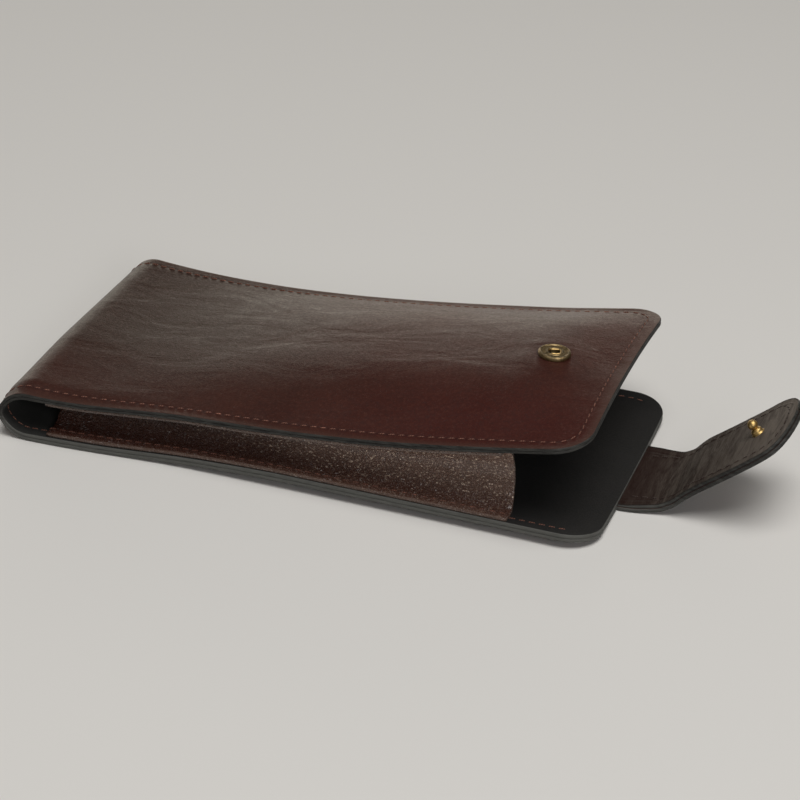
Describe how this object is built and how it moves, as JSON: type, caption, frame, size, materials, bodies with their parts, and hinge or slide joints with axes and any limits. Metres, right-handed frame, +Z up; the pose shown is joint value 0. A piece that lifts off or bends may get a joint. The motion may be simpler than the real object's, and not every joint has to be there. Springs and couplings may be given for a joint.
{
  "type": "eyeglasses case",
  "caption": "Slip-in leather eyeglasses case with gusseted sides, open at one end, closed by a curled flap with a ball stud that snaps into a spring socket.",
  "frame": {"origin": "on the back panel's flat resting face, on the centre line, 84 mm from the fold's outermost line", "axes": "+X from the closed fold to the mouth and flap, +Y across the case, +Z up from the resting face through the front panel"},
  "size_m": [0.2106, 0.086, 0.0344],
  "materials": {
    "outer_leather": "smooth, waxed, soft sheen",
    "lining_leather": "matt, fine nap",
    "gusset_leather": "fine pebbled grain, glossy",
    "facing_leather": "smooth, slightly scuffed",
    "seam_thread": "waxed twisted thread",
    "antique_brass": "darkened, worn bright on its edges",
    "spring_brass": "bright drawn wire"
  },
  "bodies": {
    "back": {"back_outer": "outer_leather", "back_lining": "lining_leather", "gusset_near": "gusset_leather", "gusset_far": "gusset_leather", "back_seam_thread": "seam_thread"},
    "front": {"front_outer": "outer_leather", "front_lining": "lining_leather", "front_seam_thread": "seam_thread", "socket_cap": "antique_brass", "socket_spring": "spring_brass", "socket_cup": "antique_brass"},
    "flap_riser": {"flap_riser_outer": "outer_leather", "flap_riser_facing": "facing_leather"},
    "flap_tip": {"flap_tip_outer": "outer_leather", "flap_tip_facing": "facing_leather", "flap_tip_thread": "seam_thread", "ball_stud": "antique_brass", "stud_rivet": "antique_brass"}
  },
  "joints": [
    {"name": "flap_fold", "type": "hinge", "parent": "back", "child": "flap_riser", "pos_m": [0.084, 0, 0.00235], "axis": [0, -1, 0], "range_deg": [0, 79.64]},
    {"name": "flap_wrap", "type": "hinge", "parent": "flap_riser", "child": "flap_tip", "pos_m": [0.09929, 0, 0.00765], "axis": [0, -1, 0], "range_deg": [0, 52.9], "deforming": ["socket_spring"]},
    {"name": "mouth_close", "type": "hinge", "parent": "back", "child": "front", "pos_m": [-0.07486, 0, 0.01587], "axis": [0, 1, 0], "range_deg": [0, 6.2], "stiffness_Nm_per_rad": 0.3, "springref_deg": -8.59, "deforming": ["gusset_near", "gusset_far"]}
  ],
  "couplings": [
    {"joint": "flap_wrap", "follows": "flap_fold", "ratio": 0.66245},
    {"joint": "mouth_close", "follows": "flap_fold", "ratio": 0.077413}
  ]
}
